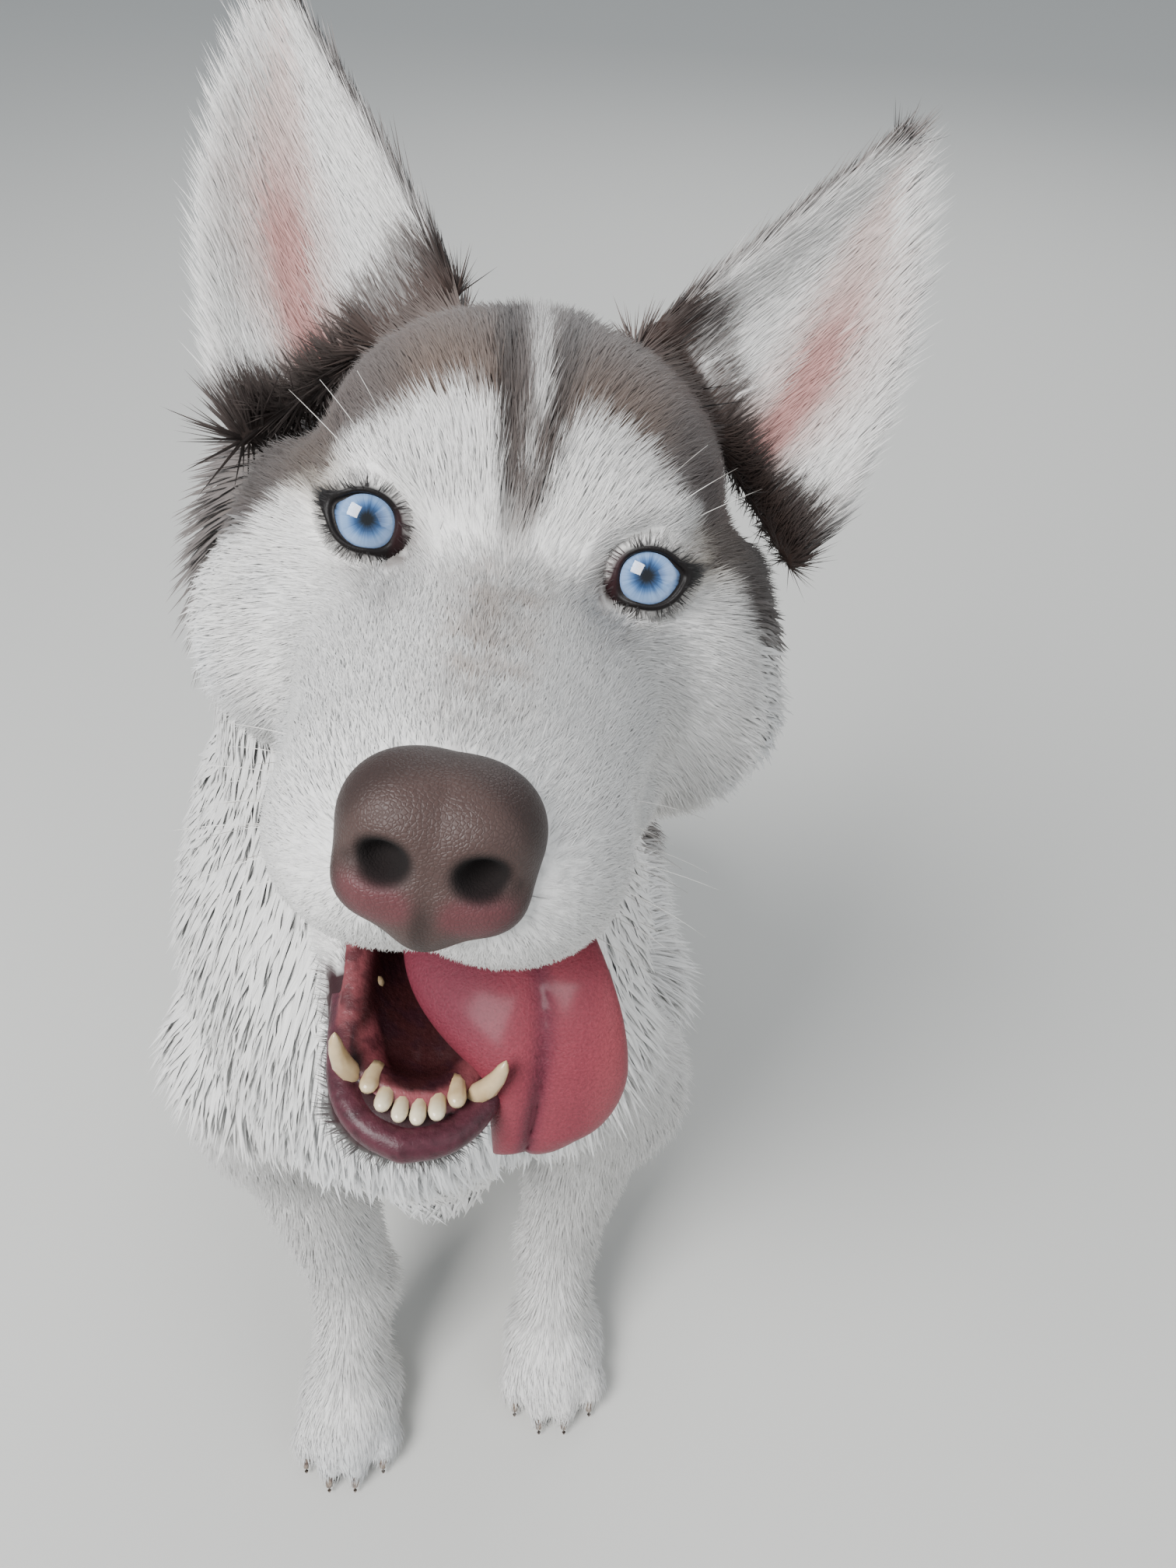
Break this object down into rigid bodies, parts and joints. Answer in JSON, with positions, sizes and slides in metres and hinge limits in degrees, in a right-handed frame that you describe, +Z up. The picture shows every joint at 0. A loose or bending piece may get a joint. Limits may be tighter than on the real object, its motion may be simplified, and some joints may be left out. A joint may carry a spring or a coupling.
{
  "type": "life-size sitting siberian husky model",
  "caption": "Life-size still model of a sitting grey-brown and white siberian husky with blue eyes, its head raised, mouth open and tongue out over one side of the jaw.",
  "frame": {"origin": "on the floor, below the middle of the dog's bounding box", "axes": "+Z up; the dog faces -Y with its tail along +Y; +X is the dog's left side"},
  "size_m": [0.3338, 0.7807, 0.7142],
  "materials": {
    "fur": "soft double coat, white with grey-brown markings",
    "brown_fur": "soft double coat, grey-brown with pale tips",
    "mouth_skin": "wet dark pink skin with the lower teeth",
    "nose_leather": "moist pebbled skin, liver brown",
    "tongue_flesh": "wet, finely grained, pink-red",
    "eye": "wet gloss, pale blue iris with a dark rim and pupil"
  },
  "bodies": {
    "root": {"head": "fur", "jaw": "mouth_skin", "nose": "nose_leather", "tongue": "tongue_flesh", "eye_left": "eye", "eye_right": "eye", "ear_left": "fur", "ear_right": "fur", "neck": "fur", "chest": "fur", "rump": "brown_fur", "tail": "fur", "front_leg_left": "fur", "front_leg_right": "fur", "front_paw_left": "fur", "front_paw_right": "fur", "hind_leg_left": "fur", "hind_leg_right": "fur", "hind_foot_left": "fur", "hind_foot_right": "fur"}
  },
  "joints": []
}
